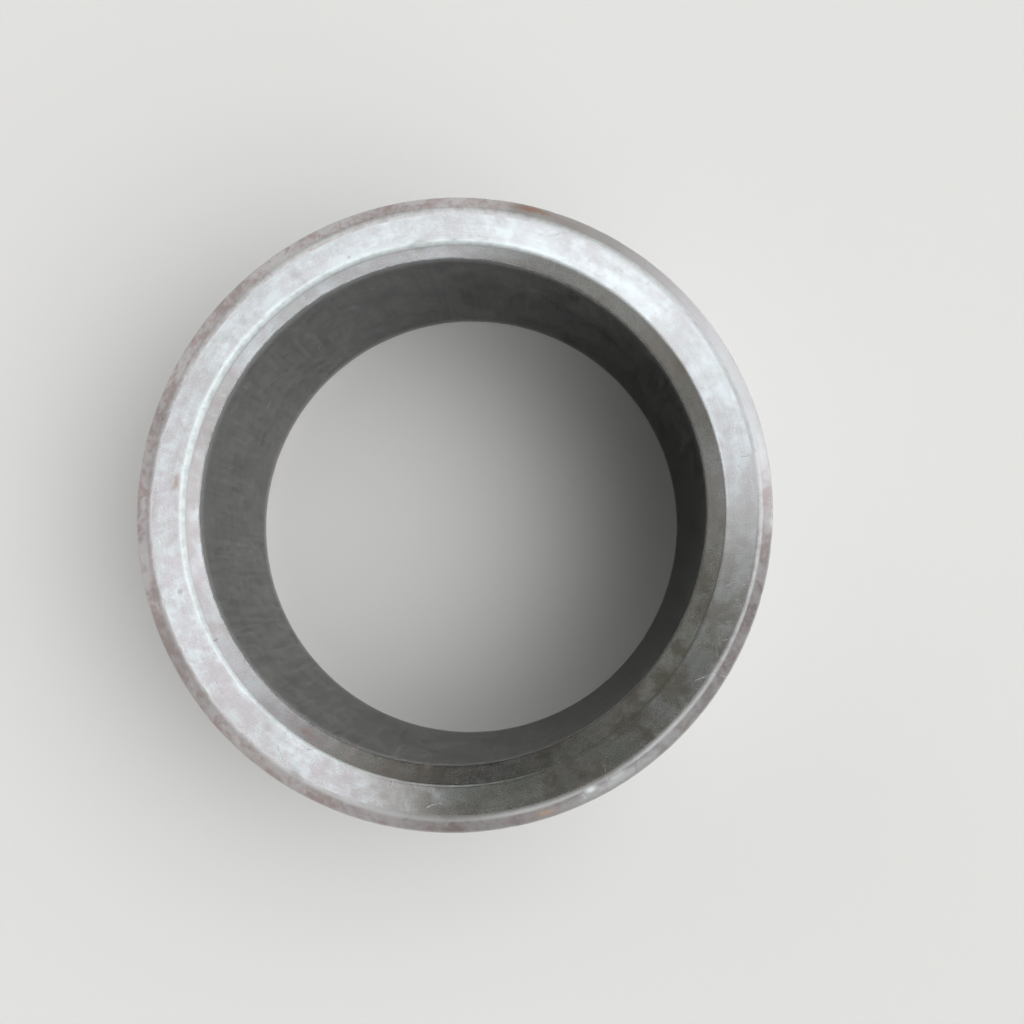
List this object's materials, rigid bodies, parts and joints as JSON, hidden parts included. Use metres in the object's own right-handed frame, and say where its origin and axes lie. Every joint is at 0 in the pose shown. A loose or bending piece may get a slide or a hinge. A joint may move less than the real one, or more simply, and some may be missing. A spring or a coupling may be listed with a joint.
{
  "type": "sleeve bushing",
  "caption": "Plain cylindrical metal sleeve bushing with a smooth running bore, a press-fit outside wall and chamfered ends.",
  "frame": {"origin": "centre of the bore at the lower end face, which is the bottom centre of the bounding box", "axes": "+Z runs along the bore's axis to the upper end face; the part is round about Z and both ends are alike, so X and Y are free choices"},
  "size_m": [0.05, 0.05, 0.02],
  "materials": {
    "sleeve_metal": "fine turned end faces and chamfers, ground outside wall, honed bore, light handling stains"
  },
  "bodies": {
    "root": {"bushing_sleeve": "sleeve_metal"}
  },
  "joints": []
}
